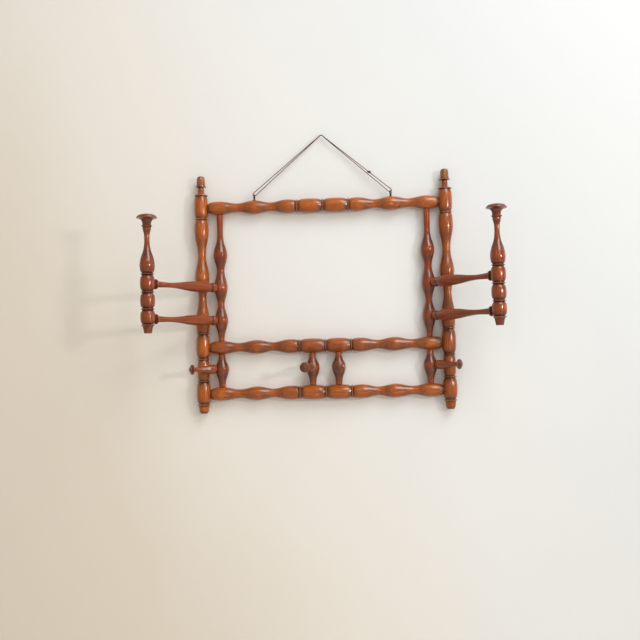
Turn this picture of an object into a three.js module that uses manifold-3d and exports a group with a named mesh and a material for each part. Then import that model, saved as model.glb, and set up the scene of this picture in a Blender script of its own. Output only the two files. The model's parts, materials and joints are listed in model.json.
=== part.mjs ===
// Wall coat rack of turned wood. Two posts and three rails make the frame. Two gates with
// hat posts swing in it, four pegs swivel in it, and it hangs from a nail by a doubled string.
// Millimetres. X runs to the right as one faces the rack, Y runs into the wall, and Z is up.
// The origin is where the string hangs over the nail, on the face of the wall.

import * as THREE from 'three';
import { mergeVertices, toCreasedNormals } from 'three/addons/utils/BufferGeometryUtils.js';
import Module from 'manifold-3d';

// Clearances: glued tenons and shoulders, tenons that turn, and the posts' backs off the wall
const GLUE_FIT = 0.3;
const TURN_FIT = 0.4;
const WALL_FIT = 0.5;

// Frame: heights are above the posts' feet, rises are from one level to the next
const POST_SPACING = 608;
const BOTTOM_RAIL_Z = 47.5;
const MIDDLE_RAIL_RISE = 114.8;
const TOP_RAIL_RISE = 349.1;
const NAIL_RISE = 176.5;

// Posts: foot, rings, grooves and barrels
const POST_FOOT_R = 8.4;
const POST_FOOT_EDGE_R = 9.3;
const POST_FOOT_EDGE_H = 1.8;
const POST_FOOT_NECK_R = 13;
const POST_RING_R = 16.2;
const POST_RING_T = 5;
const POST_GROOVE_R = 12.8;
const POST_BARREL_R = 17.4;
const POST_BALL_R = 15.4;
const BOTTOM_BARREL_BELOW = 25.8;
const BOTTOM_BARREL_ABOVE = 32;
const MIDDLE_BARREL_BELOW = 28.5;
const MIDDLE_BARREL_ABOVE = 35.5;
const TOP_BARREL_BELOW = 26.8;
const TOP_BARREL_ABOVE = 32.5;

// Posts: the shaft between the middle and the top rail. The rises of its waists and of its
// middle bulge are above the low bulge.
const SHAFT_GROOVE_R = 14;
const SHAFT_LOW_BULGE_R = 17.2;
const SHAFT_MID_BULGE_R = 17.8;
const SHAFT_HIGH_BULGE_R = 18.1;
const SHAFT_LOW_WAIST_R = 9.9;
const SHAFT_HIGH_WAIST_R = 10.2;
const SHAFT_HIGH_WAIST_L = 11;
const SHAFT_LOW_BULGE_RISE = 30;
const SHAFT_LOW_WAIST_RISE = 57.4;
const SHAFT_MID_BULGE_RISE = 113.2;
const SHAFT_HIGH_WAIST_RISE = 160.2;
const SHAFT_HIGH_BULGE_DROP = 32;

// Posts: the thimble on top
const COLLAR_R = 16.4;
const COLLAR_T = 4.4;
const THIMBLE_NECK_LOW_R = 8;
const THIMBLE_NECK_HIGH_R = 6.3;
const THIMBLE_NECK_H = 18.5;
const THIMBLE_RIM_R = 12.8;
const THIMBLE_RIM_T = 4.4;
const THIMBLE_LOW_R = 10.7;
const THIMBLE_HIGH_R = 9.9;
const THIMBLE_SIDE_H = 17.5;
const THIMBLE_TOP_H = 6.5;
const THIMBLE_TOP_R = 3.2;

// Rails
const RAIL_RING_R = 16.7;
const RAIL_RING_T = 5.6;
const RAIL_GROOVE_R = 13.8;
const RAIL_BEAD_R = 18.1;
const RAIL_BULGE_R = 17.3;
const RAIL_WAIST_R = 10.8;
const RAIL_FIRST_BULGE_X = 89;
const RAIL_END_BULGE_R = 17;
const RAIL_NOSE_R = 10;
const RAIL_TENON_R = 7.5;
const RAIL_TENON_L = 20;
const PEG_SPACING = 64.3;

// Gates: the spindle that turns between the middle and the top rail, and how far it stands
// inside the post's axis
const GATE_INSET = 46.6;
const LOWER_ARM_RISE = 67;
const ARM_SPACING = 81.7;
const PIVOT_R = 6.5;
const PIVOT_L = 12;
const GATE_FOOT_R = 7.3;
const GATE_FOOT_H = 7;
const GATE_BULGE_R = 16.9;
const GATE_HIGH_BULGE_R = 17.3;
const GATE_LOW_WAIST_R = 8.5;
const GATE_HIGH_WAIST_R = 9.4;
const GATE_NECK_R = 7.9;
const GATE_LOW_WAIST_RISE = 40;
const GATE_HIGH_WAIST_RISE = 43;
const GATE_HIGH_BULGE_RISE = 82.3;
const GATE_NECK_RISE = 125.3;

// Gates: arms, measured from the spindle's axis to the hat post's axis
const ARM_L = 218.2;
const ARM_TENON_R = 4.5;
const ARM_TENON_L = 10;
const ARM_BEAD_R = 12;
const ARM_BEAD_END_R = 8;
const ARM_BEAD_L = 15.6;
const ARM_GROOVE_R = 9;
const ARM_GROOVE_L = 2;
const ARM_BODY_R = 13.3;
const ARM_BODY_SHOULDER_L = 14;
const ARM_BODY_L = 22;
const ARM_WAIST_R = 6.1;
const ARM_TAPER_L = 86;
const ARM_FLARE_R = 7.8;
const ARM_COLLAR_R = 11.7;
const ARM_COLLAR_T = 6.4;
const ARM_COLLAR_NECK_L = 2;

// Gates: hat post
const HAT_FOOT_R = 8.4;
const HAT_FOOT_EDGE_R = 9;
const HAT_FOOT_EDGE_H = 1.2;
const HAT_FOOT_NECK_R = 12.8;
const HAT_FOOT_DROP = 33.5;
const HAT_FOOT_H = 16.4;
const HAT_RING_R = 16;
const HAT_RING_T = 5;
const HAT_GROOVE_R = 12.6;
const HAT_BALL_R = 17.2;
const HAT_BARREL_R = 17.2;
const HAT_LOW_BALL_ABOVE = 22.6;
const HAT_HIGH_BALL_BELOW = 19.2;
const HAT_HIGH_BALL_ABOVE = 22.7;
const HAT_PEAR_R = 17.6;
const HAT_PEAR_RISE = 22;
const HAT_PEAR_TAPER_L = 49;
const HAT_WAIST_R = 6.5;
const HAT_WAIST_L = 19;
const HAT_FLARE_R = 10.4;
const HAT_FLARE_L = 20;
const HAT_COLLAR_R = 12.8;
const HAT_NECK_R = 10;
const HAT_NECK_L = 2.4;
const HAT_CAP_R = 24;
const HAT_CAP_COVE_H = 13.2;
const HAT_CAP_EDGE_H = 1.8;
const HAT_CAP_DOME_H = 8.4;

// Swivelling pegs and their spindles
const PEG_DROP = 53.1;
const PEG_SPINDLE_R = 17.5;
const PEG_SPINDLE_END_R = 8.3;
const PEG_SPINDLE_END_L = 8;
const PEG_TENON_R = 4;
const PEG_TENON_L = 9;
const PEG_HEEL_R = 8;
const PEG_HEEL_L = 10.1;
const PEG_BODY_R = 12;
const PEG_TAPER_L = 44;
const PEG_NECK_R = 5.6;
const PEG_NECK_L = 7;
const PEG_HEAD_R = 12.4;
const PEG_HEAD_BACK_L = 4;
const PEG_HEAD_EDGE_L = 2.2;
const PEG_HEAD_FRONT_L = 3;
const PEG_NUB_R = 4.8;
const PEG_NUB_L = 4.2;
const PEG_NUB_TIP_R = 1.6;

// Resting directions in degrees, measured forward from the line of the rails, outward first
const LEFT_GATE_ANGLE = 48.1;
const RIGHT_GATE_ANGLE = 47.5;
const LEFT_PEG_ANGLE = 39.5;
const RIGHT_PEG_ANGLE = 39.5;
const CENTRE_LEFT_PEG_ANGLE = 80;
const CENTRE_RIGHT_PEG_ANGLE = 88;

// Screw eyes on the top rail
const EYE_X = 170;
const EYE_INNER_R = 4.4;
const EYE_WIRE_R = 1.3;
const EYE_COLLAR_R = 4.2;
const EYE_COLLAR_H = 1.5;
const EYE_SINK = 0.4;
const EYE_SHANK_R = 1.9;
const EYE_SHANK_L = 13;
const EYE_POINT_L = 4;
const EYE_POINT_R = 0.5;
const EYE_TWIST_ANGLE = 18;

// Hanging string and its knot, whose two tails point down and towards the room
const STRING_R = 1;
const KNOT_R = 3.3;
const KNOT_END_R = 1.6;
const KNOT_TAIL_L = 5.5;
const KNOT_TAILS = [
  new THREE.Vector3(0.5, -0.7, -0.5),
  new THREE.Vector3(-0.4, -0.7, 0.6),
];

// Fineness: sides round each kind of piece, and steps along a curve of its outline
const FRAME_SIDES = 10;
const SPINDLE_SIDES = 10;
const ARM_SIDES = 8;
const PEG_SIDES = 8;
const HOLE_SIDES = 10;
const EYE_SIDES = 6;
const EYE_RING_STEPS = 12;
const STRING_SIDES = 8;
const STRING_SPAN_STEPS = 2;
const SWELL_STEPS = 3;
const BEAD_STEPS = 4;
const ROUND_STEPS = 3;

// How far a hole's cutter runs clear of the surface, how near two corners are one, and the
// angle past which an edge shows
const CUTTER_CLEAR_L = 10;
const WELD_GAP = 1e-4;
const CREASE_ANGLE = Math.PI / 5;

// The string's route, from its knot round the right eye, over the nail, round the left eye,
// over the nail again and back to the knot
const STRING_ROUTE = [
  [121.3, -16.2, -98.7], [127.4, -16.5, -103.9], [165.4, -18.3, -135.9],
  [171.5, -18.6, -141.0], [172.9, -18.6, -143.8], [171.9, -18.6, -146.7],
  [169.2, -18.6, -148.1], [166.2, -18.6, -147.1], [160.3, -18.2, -141.7],
  [84.5, -13.3, -72.9], [8.6, -8.4, -4.1],
  [2.7, -8.0, 1.3], [0.0, -8.0, 2.3], [-2.7, -8.0, 1.3],
  [-8.6, -8.4, -4.1], [-84.5, -13.3, -72.9], [-160.3, -18.2, -141.7],
  [-166.2, -18.6, -147.1], [-169.2, -18.6, -148.1], [-171.9, -18.6, -146.7],
  [-172.9, -18.6, -143.8], [-171.5, -18.6, -141.0], [-165.4, -18.3, -135.9],
  [-87.0, -14.6, -69.8], [-8.7, -10.9, -3.8],
  [-2.6, -10.6, 1.4], [0.0, -10.6, 2.3], [2.6, -10.6, 1.4],
  [8.7, -10.9, -3.8], [60.3, -13.3, -47.3], [108.6, -15.6, -88.0], [114.7, -15.9, -93.2],
].map(point => new THREE.Vector3(...point));

// Levels that follow from the sizes above
const POST_X = POST_SPACING / 2;
const GATE_AXIS_X = POST_X - GATE_INSET;
const PEG_X = PEG_SPACING / 2;
const MIDDLE_RAIL_Z = BOTTOM_RAIL_Z + MIDDLE_RAIL_RISE;
const TOP_RAIL_Z = MIDDLE_RAIL_Z + TOP_RAIL_RISE;
const LOWER_ARM_Z = MIDDLE_RAIL_Z + LOWER_ARM_RISE;
const UPPER_ARM_Z = LOWER_ARM_Z + ARM_SPACING;
const PEG_Z = MIDDLE_RAIL_Z - PEG_DROP;
const AXIS_Y = -(Math.max(SHAFT_HIGH_BULGE_R, SHAFT_MID_BULGE_R, POST_BARREL_R) + WALL_FIT);

const UP = new THREE.Vector3(0, 0, 1);
const DOWN = new THREE.Vector3(0, 0, -1);
const RIGHT = new THREE.Vector3(1, 0, 0);
const LEFT = new THREE.Vector3(-1, 0, 0);

const varnish = { roughness: 0.3, metalness: 0 };
const honeyWood = new THREE.MeshStandardMaterial({ color: 0x9a4f1e, ...varnish });
const redWood = new THREE.MeshStandardMaterial({ color: 0x7a3420, ...varnish });
const iron = new THREE.MeshStandardMaterial({ color: 0x35302c, roughness: 0.55, metalness: 0.8 });
const twine = new THREE.MeshStandardMaterial({ color: 0x7b5a44, roughness: 0.9, metalness: 0 });

const wasm = await Module();
wasm.setup();

// Outline of a turned piece, drawn along its axis from one end to the other
class Outline {
  constructor(at, radius) {
    this.points = [];
    this.cut(at, radius);
  }

  get end() {
    return this.points.at(-1);
  }

  // Straight cut to a radius further along
  cut(at, radius) {
    this.points.push(new THREE.Vector2(radius, at));
    return this;
  }

  // Curve whose place and radius each run from the last point at their own rate
  curve(at, radius, steps, along, across) {
    const from = this.end;
    for (let step = 1; step <= steps; step += 1) {
      const t = step / steps;
      this.cut(
        THREE.MathUtils.lerp(from.y, at, along(t)),
        THREE.MathUtils.lerp(from.x, radius, across(t)),
      );
    }
    return this;
  }

  // Smooth S between a waist and a swelling
  swell(at, radius) {
    return this.curve(at, radius, SWELL_STEPS, t => t, t => (1 - Math.cos(Math.PI * t)) / 2);
  }

  // Quarter round that starts square to the axis and ends along it
  shoulder(at, radius) {
    const quarter = Math.PI / 2;
    return this.curve(at, radius, ROUND_STEPS, t => 1 - Math.cos(quarter * t), t => Math.sin(quarter * t));
  }

  // Quarter round that starts along the axis and ends square to it
  nose(at, radius) {
    const quarter = Math.PI / 2;
    return this.curve(at, radius, ROUND_STEPS, t => Math.sin(quarter * t), t => 1 - Math.cos(quarter * t));
  }

  // Half ellipse between two grooves, with its largest radius in the middle
  bead(at, radius, peak) {
    const from = this.end;
    for (let step = 1; step <= BEAD_STEPS; step += 1) {
      const angle = Math.PI * step / BEAD_STEPS;
      const t = (1 - Math.cos(angle)) / 2;
      const base = THREE.MathUtils.lerp(from.x, radius, t);
      this.cut(THREE.MathUtils.lerp(from.y, at, t), base + (peak - base) * Math.sin(angle));
    }
    return this;
  }

  // Sharp ring about a place, which leaves a groove beyond it
  ring(middle, thickness, radius, groove) {
    this.cut(middle - thickness / 2, this.end.x);
    this.cut(middle, radius);
    return this.cut(middle + thickness / 2, groove);
  }

  // Flat-edged collar about a place, which leaves a groove beyond it
  collar(middle, thickness, radius, groove) {
    this.cut(middle - thickness / 2, this.end.x);
    this.cut(middle - thickness / 4, radius);
    this.cut(middle + thickness / 4, radius);
    return this.cut(middle + thickness / 2, groove);
  }

  // The outline's points, closed onto the axis at both ends
  closed() {
    const [first] = this.points;
    return [new THREE.Vector2(0, first.y), ...this.points, new THREE.Vector2(0, this.end.y)];
  }
}

// Turns an outline about Z, the direction of its places, with an edge towards X on each side
function turnUpright(outline, sides) {
  return new THREE.LatheGeometry(outline.closed(), sides, Math.PI / 2).rotateX(Math.PI / 2);
}

// Turns an outline about X, with an edge on its crest and on its underside
function turnLying(outline, sides) {
  return turnUpright(outline, sides).rotateY(Math.PI / 2);
}

// Closed solid of a geometry, without the empty triangles that a lathe leaves on its axis
function solidOf(geometry) {
  const bare = geometry.clone();
  bare.deleteAttribute('normal');
  bare.deleteAttribute('uv');
  const welded = mergeVertices(bare, WELD_GAP);
  const corners = welded.index.array;
  const kept = [];
  for (let i = 0; i < corners.length; i += 3) {
    const [a, b, c] = corners.subarray(i, i + 3);
    if (a !== b && b !== c && c !== a) kept.push(a, b, c);
  }
  const vertProperties = new Float32Array(welded.attributes.position.array);
  const triVerts = new Uint32Array(kept);
  return new wasm.Manifold(new wasm.Mesh({ numProp: 3, vertProperties, triVerts }));
}

// Geometry of a solid, with smooth normals inside each turned surface
function geometryOf(solid) {
  const { vertProperties, triVerts } = solid.getMesh();
  const geometry = new THREE.BufferGeometry();
  geometry.setAttribute('position', new THREE.BufferAttribute(vertProperties, 3));
  geometry.setIndex(new THREE.BufferAttribute(triVerts, 1));
  return toCreasedNormals(geometry, CREASE_ANGLE);
}

// Bar from a point along a direction, whose flats lie at the radius
function bar(start, direction, length, radius) {
  const edgeR = radius / Math.cos(Math.PI / HOLE_SIDES);
  const geometry = new THREE.CylinderGeometry(edgeR, edgeR, length, HOLE_SIDES);
  geometry.rotateX(Math.PI / 2).translate(0, 0, length / 2);
  geometry.applyQuaternion(new THREE.Quaternion().setFromUnitVectors(UP, direction));
  return solidOf(geometry.translate(...start));
}

// Hole in a surface at a place, running inward for a depth and open to the outside
function hole(surface, outward, depth, radius) {
  const start = surface.clone().addScaledVector(outward, -depth);
  return bar(start, outward, depth + CUTTER_CLEAR_L, radius);
}

function piece(name, solid, material) {
  const mesh = new THREE.Mesh(geometryOf(solid), material);
  mesh.name = name;
  return mesh;
}

// Post with its three mortises; `inward` points to the rails
function post(name, x, inward) {
  const outline = new Outline(0, POST_FOOT_R)
    .cut(POST_FOOT_EDGE_H, POST_FOOT_EDGE_R)
    .shoulder(BOTTOM_RAIL_Z - BOTTOM_BARREL_BELOW - POST_RING_T / 2, POST_FOOT_NECK_R);
  const ring = (z, groove) => outline.ring(z, POST_RING_T, POST_RING_R, groove);
  const barrelTo = z => outline.bead(z - POST_RING_T / 2, outline.end.x, POST_BARREL_R);

  ring(BOTTOM_RAIL_Z - BOTTOM_BARREL_BELOW, POST_GROOVE_R);
  barrelTo(BOTTOM_RAIL_Z + BOTTOM_BARREL_ABOVE);
  ring(BOTTOM_RAIL_Z + BOTTOM_BARREL_ABOVE, POST_GROOVE_R);
  outline.bead(MIDDLE_RAIL_Z - MIDDLE_BARREL_BELOW - POST_RING_T / 2, POST_GROOVE_R, POST_BALL_R);
  ring(MIDDLE_RAIL_Z - MIDDLE_BARREL_BELOW, POST_GROOVE_R);
  barrelTo(MIDDLE_RAIL_Z + MIDDLE_BARREL_ABOVE);
  ring(MIDDLE_RAIL_Z + MIDDLE_BARREL_ABOVE, SHAFT_GROOVE_R);

  // Three swellings and the waists between them
  const lowBulgeZ = MIDDLE_RAIL_Z + MIDDLE_BARREL_ABOVE + SHAFT_LOW_BULGE_RISE;
  const highBulgeZ = TOP_RAIL_Z - TOP_BARREL_BELOW - SHAFT_HIGH_BULGE_DROP;
  outline.shoulder(lowBulgeZ, SHAFT_LOW_BULGE_R)
    .swell(lowBulgeZ + SHAFT_LOW_WAIST_RISE, SHAFT_LOW_WAIST_R)
    .swell(lowBulgeZ + SHAFT_MID_BULGE_RISE, SHAFT_MID_BULGE_R)
    .swell(lowBulgeZ + SHAFT_HIGH_WAIST_RISE, SHAFT_HIGH_WAIST_R)
    .cut(lowBulgeZ + SHAFT_HIGH_WAIST_RISE + SHAFT_HIGH_WAIST_L, SHAFT_HIGH_WAIST_R)
    .swell(highBulgeZ, SHAFT_HIGH_BULGE_R)
    .nose(TOP_RAIL_Z - TOP_BARREL_BELOW - POST_RING_T / 2, SHAFT_GROOVE_R);
  ring(TOP_RAIL_Z - TOP_BARREL_BELOW, SHAFT_GROOVE_R);

  // Top barrel, collar and thimble
  const collarZ = TOP_RAIL_Z + TOP_BARREL_ABOVE;
  const rimZ = collarZ + COLLAR_T / 2 + THIMBLE_NECK_H + THIMBLE_RIM_T / 2;
  const sideTopZ = rimZ + THIMBLE_RIM_T / 2 + THIMBLE_SIDE_H;
  outline.bead(collarZ - COLLAR_T / 2, SHAFT_GROOVE_R, POST_BARREL_R)
    .collar(collarZ, COLLAR_T, COLLAR_R, THIMBLE_NECK_LOW_R)
    .nose(rimZ - THIMBLE_RIM_T / 2, THIMBLE_NECK_HIGH_R)
    .collar(rimZ, THIMBLE_RIM_T, THIMBLE_RIM_R, THIMBLE_LOW_R)
    .cut(sideTopZ, THIMBLE_HIGH_R)
    .nose(sideTopZ + THIMBLE_TOP_H, THIMBLE_TOP_R);

  let solid = solidOf(turnUpright(outline, FRAME_SIDES));
  for (const z of [BOTTOM_RAIL_Z, MIDDLE_RAIL_Z, TOP_RAIL_Z]) {
    const face = new THREE.Vector3(inward.x * POST_BARREL_R, 0, z);
    const mortise = hole(face, inward, RAIL_TENON_L + GLUE_FIT, RAIL_TENON_R + GLUE_FIT);
    solid = solid.subtract(mortise);
  }
  const mesh = piece(name, solid, honeyWood);
  mesh.position.x = x;
  return mesh;
}

// Half of a rail's outline, from the middle of its centre ring to the end of its tenon
function railHalf() {
  const shoulderX = POST_X - POST_BARREL_R - GLUE_FIT;
  return new Outline(0, RAIL_RING_R)
    .cut(RAIL_RING_T / 2, RAIL_GROOVE_R)
    .bead(PEG_SPACING - RAIL_RING_T / 2, RAIL_GROOVE_R, RAIL_BEAD_R)
    .ring(PEG_SPACING, RAIL_RING_T, RAIL_RING_R, RAIL_GROOVE_R)
    .shoulder(RAIL_FIRST_BULGE_X, RAIL_BULGE_R)
    .swell((RAIL_FIRST_BULGE_X + EYE_X) / 2, RAIL_WAIST_R)
    .swell(EYE_X, RAIL_BULGE_R)
    .swell((EYE_X + GATE_AXIS_X) / 2, RAIL_WAIST_R)
    .swell(GATE_AXIS_X, RAIL_END_BULGE_R)
    .nose(shoulderX, RAIL_NOSE_R)
    .cut(shoulderX, RAIL_TENON_R)
    .cut(POST_X - POST_BARREL_R + RAIL_TENON_L, RAIL_TENON_R);
}

// Rail with its holes, each given by its place, the side it opens to and the surface there
function rail(name, z, holes) {
  const half = railHalf();
  const mirrored = half.points.slice(1).map(point => new THREE.Vector2(point.x, -point.y));
  half.points = [...mirrored.reverse(), ...half.points];
  let solid = solidOf(turnLying(half, FRAME_SIDES));
  for (const { x, side, surfaceR, depth, radius } of holes) {
    const face = new THREE.Vector3(x, 0, side.z * surfaceR);
    solid = solid.subtract(hole(face, side, depth, radius));
  }
  const mesh = piece(name, solid, honeyWood);
  mesh.position.z = z;
  return mesh;
}

// A pair of pivot holes, left and right of the middle
function pivotHoles(x, side, surfaceR) {
  const depth = PIVOT_L + GLUE_FIT;
  const radius = PIVOT_R + TURN_FIT;
  return [-x, x].map(place => ({ x: place, side, surfaceR, depth, radius }));
}

function eyeHoles() {
  const depth = EYE_SHANK_L + GLUE_FIT;
  const radius = EYE_SHANK_R + GLUE_FIT;
  return [-EYE_X, EYE_X].map(x => ({ x, side: UP, surfaceR: RAIL_BULGE_R, depth, radius }));
}

// Screw eye: a ring on a collar, with a pointed shank below
function screwEye(name, x, twist) {
  const ringR = EYE_INNER_R + EYE_WIRE_R;
  const stem = new Outline(-EYE_SHANK_L, EYE_POINT_R)
    .cut(EYE_POINT_L - EYE_SHANK_L, EYE_SHANK_R)
    .cut(GLUE_FIT, EYE_SHANK_R)
    .cut(GLUE_FIT, EYE_COLLAR_R)
    .cut(GLUE_FIT + EYE_COLLAR_H / 2, EYE_COLLAR_R)
    .cut(GLUE_FIT + EYE_COLLAR_H, EYE_WIRE_R);
  const ring = new THREE.TorusGeometry(ringR, EYE_WIRE_R, EYE_SIDES, EYE_RING_STEPS);
  ring.rotateY(Math.PI / 2);
  ring.translate(0, 0, GLUE_FIT + EYE_COLLAR_H - EYE_SINK + ringR + EYE_WIRE_R);
  const solid = solidOf(turnUpright(stem, EYE_SIDES)).add(solidOf(ring));
  const mesh = piece(name, solid, iron);
  mesh.position.set(x, 0, TOP_RAIL_Z + RAIL_BULGE_R);
  mesh.rotation.z = THREE.MathUtils.degToRad(twist);
  return mesh;
}

// Gate spindle, bored for its two arms towards +X
function gateSpindle(name) {
  const footZ = MIDDLE_RAIL_Z + RAIL_END_BULGE_R;
  const topZ = TOP_RAIL_Z - RAIL_END_BULGE_R;
  const outline = new Outline(footZ - PIVOT_L, PIVOT_R)
    .cut(footZ + GLUE_FIT, PIVOT_R)
    .cut(footZ + GLUE_FIT, GATE_FOOT_R)
    .cut(footZ + GATE_FOOT_H, GATE_FOOT_R)
    .swell(LOWER_ARM_Z, GATE_BULGE_R)
    .swell(LOWER_ARM_Z + GATE_LOW_WAIST_RISE, GATE_LOW_WAIST_R)
    .swell(UPPER_ARM_Z, GATE_BULGE_R)
    .swell(UPPER_ARM_Z + GATE_HIGH_WAIST_RISE, GATE_HIGH_WAIST_R)
    .swell(UPPER_ARM_Z + GATE_HIGH_BULGE_RISE, GATE_HIGH_BULGE_R)
    .swell(UPPER_ARM_Z + GATE_NECK_RISE, GATE_NECK_R)
    .cut(topZ - GLUE_FIT, GATE_NECK_R)
    .cut(topZ - GLUE_FIT, PIVOT_R)
    .cut(topZ + PIVOT_L, PIVOT_R);
  let solid = solidOf(turnUpright(outline, SPINDLE_SIDES));
  for (const z of [LOWER_ARM_Z, UPPER_ARM_Z]) {
    const face = new THREE.Vector3(GATE_BULGE_R, 0, z);
    solid = solid.subtract(hole(face, RIGHT, ARM_TENON_L + GLUE_FIT, ARM_TENON_R + GLUE_FIT));
  }
  return piece(name, solid, redWood);
}

// Arm along X, from its tenon in the spindle to its tenon in the hat post
function arm(name, z) {
  const innerX = GATE_BULGE_R + GLUE_FIT;
  const outerX = ARM_L - HAT_BALL_R - GLUE_FIT;
  const bodyX = innerX + ARM_BEAD_L + ARM_GROOVE_L;
  const taperX = bodyX + ARM_BODY_SHOULDER_L + ARM_BODY_L;
  const collarX = outerX - ARM_COLLAR_NECK_L - ARM_COLLAR_T / 2;
  const outline = new Outline(GATE_BULGE_R - ARM_TENON_L, ARM_TENON_R)
    .cut(innerX, ARM_TENON_R)
    .cut(innerX, ARM_BEAD_END_R)
    .bead(innerX + ARM_BEAD_L, ARM_GROOVE_R, ARM_BEAD_R)
    .cut(bodyX, ARM_GROOVE_R)
    .shoulder(bodyX + ARM_BODY_SHOULDER_L, ARM_BODY_R)
    .cut(taperX, ARM_BODY_R)
    .swell(taperX + ARM_TAPER_L, ARM_WAIST_R)
    .cut(collarX - ARM_COLLAR_T / 2, ARM_FLARE_R)
    .collar(collarX, ARM_COLLAR_T, ARM_COLLAR_R, ARM_FLARE_R)
    .cut(outerX, ARM_FLARE_R)
    .cut(outerX, ARM_TENON_R)
    .cut(ARM_L - HAT_BALL_R + ARM_TENON_L, ARM_TENON_R);
  const mesh = piece(name, solidOf(turnLying(outline, ARM_SIDES)), redWood);
  mesh.position.z = z;
  return mesh;
}

// Hat post at the arms' outer ends, bored for them from the spindle's side
function hatPost(name) {
  const footZ = LOWER_ARM_Z - HAT_FOOT_DROP;
  const ringZ = [
    footZ + HAT_FOOT_H + HAT_RING_T / 2,
    LOWER_ARM_Z + HAT_LOW_BALL_ABOVE,
    UPPER_ARM_Z - HAT_HIGH_BALL_BELOW,
    UPPER_ARM_Z + HAT_HIGH_BALL_ABOVE,
  ];
  const outline = new Outline(footZ, HAT_FOOT_R)
    .cut(footZ + HAT_FOOT_EDGE_H, HAT_FOOT_EDGE_R)
    .cut(footZ + HAT_FOOT_H, HAT_FOOT_NECK_R);
  const swellings = [HAT_BALL_R, HAT_BARREL_R, HAT_BALL_R];
  for (const [i, z] of ringZ.entries()) {
    outline.ring(z, HAT_RING_T, HAT_RING_R, HAT_GROOVE_R);
    if (i < swellings.length) {
      outline.bead(ringZ[i + 1] - HAT_RING_T / 2, HAT_GROOVE_R, swellings[i]);
    }
  }

  const pearZ = ringZ.at(-1) + HAT_PEAR_RISE;
  const waistZ = pearZ + HAT_PEAR_TAPER_L;
  const flareZ = waistZ + HAT_WAIST_L + HAT_FLARE_L;
  const neckZ = flareZ + HAT_RING_T + HAT_NECK_L;
  const capZ = neckZ + HAT_CAP_COVE_H;
  outline.shoulder(pearZ, HAT_PEAR_R)
    .swell(waistZ, HAT_WAIST_R)
    .cut(waistZ + HAT_WAIST_L, HAT_WAIST_R)
    .swell(flareZ, HAT_FLARE_R)
    .ring(flareZ + HAT_RING_T / 2, HAT_RING_T, HAT_COLLAR_R, HAT_NECK_R)
    .cut(neckZ, HAT_NECK_R)
    .nose(capZ, HAT_CAP_R)
    .cut(capZ + HAT_CAP_EDGE_H, HAT_CAP_R)
    .nose(capZ + HAT_CAP_EDGE_H + HAT_CAP_DOME_H, 0);

  let solid = solidOf(turnUpright(outline, SPINDLE_SIDES));
  for (const z of [LOWER_ARM_Z, UPPER_ARM_Z]) {
    const face = new THREE.Vector3(-HAT_BALL_R, 0, z);
    solid = solid.subtract(hole(face, LEFT, ARM_TENON_L + GLUE_FIT, ARM_TENON_R + GLUE_FIT));
  }
  const mesh = piece(name, solid, redWood);
  mesh.position.x = ARM_L;
  return mesh;
}

// Short spindle between the bottom and the middle rail, bored for its peg towards +X
function pegSpindle(name, railR) {
  const footZ = BOTTOM_RAIL_Z + railR;
  const topZ = MIDDLE_RAIL_Z - railR;
  const outline = new Outline(footZ - PIVOT_L, PIVOT_R)
    .cut(footZ + GLUE_FIT, PIVOT_R)
    .cut(footZ + GLUE_FIT, PEG_SPINDLE_END_R)
    .cut(footZ + PEG_SPINDLE_END_L, PEG_SPINDLE_END_R)
    .swell(PEG_Z, PEG_SPINDLE_R)
    .swell(topZ - PEG_SPINDLE_END_L, PEG_SPINDLE_END_R)
    .cut(topZ - GLUE_FIT, PEG_SPINDLE_END_R)
    .cut(topZ - GLUE_FIT, PIVOT_R)
    .cut(topZ + PIVOT_L, PIVOT_R);
  const face = new THREE.Vector3(PEG_SPINDLE_R, 0, PEG_Z);
  const socket = hole(face, RIGHT, PEG_TENON_L + GLUE_FIT, PEG_TENON_R + GLUE_FIT);
  return piece(name, solidOf(turnUpright(outline, PEG_SIDES)).subtract(socket), redWood);
}

// Peg along X, with a button head and a nub on the head's face
function peg(name) {
  const heelX = PEG_SPINDLE_R + GLUE_FIT;
  const bodyX = heelX + PEG_HEEL_L;
  const neckX = bodyX + PEG_TAPER_L + PEG_NECK_L;
  const rimX = neckX + PEG_HEAD_BACK_L;
  const faceX = rimX + PEG_HEAD_EDGE_L + PEG_HEAD_FRONT_L;
  const outline = new Outline(PEG_SPINDLE_R - PEG_TENON_L, PEG_TENON_R)
    .cut(heelX, PEG_TENON_R)
    .cut(heelX, PEG_HEEL_R)
    .shoulder(bodyX, PEG_BODY_R)
    .swell(bodyX + PEG_TAPER_L, PEG_NECK_R)
    .cut(neckX, PEG_NECK_R)
    .nose(rimX, PEG_HEAD_R)
    .cut(rimX + PEG_HEAD_EDGE_L, PEG_HEAD_R)
    .cut(faceX, PEG_NUB_R)
    .nose(faceX + PEG_NUB_L, PEG_NUB_TIP_R);
  const mesh = piece(name, solidOf(turnLying(outline, PEG_SIDES)), redWood);
  mesh.position.z = PEG_Z;
  return mesh;
}

// Curve through the string's chosen points, with its steps shared out between them
class StringCurve extends THREE.CatmullRomCurve3 {
  getUtoTmapping(u) {
    return u;
  }
}

function hangingCord() {
  const section = new THREE.Shape().absarc(0, 0, STRING_R, 0, 2 * Math.PI);
  const geometry = new THREE.ExtrudeGeometry(section, {
    extrudePath: new StringCurve(STRING_ROUTE),
    steps: STRING_SPAN_STEPS * (STRING_ROUTE.length - 1),
    curveSegments: STRING_SIDES / 2,
  });
  return piece('hanging_cord', solidOf(geometry), twine);
}

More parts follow.
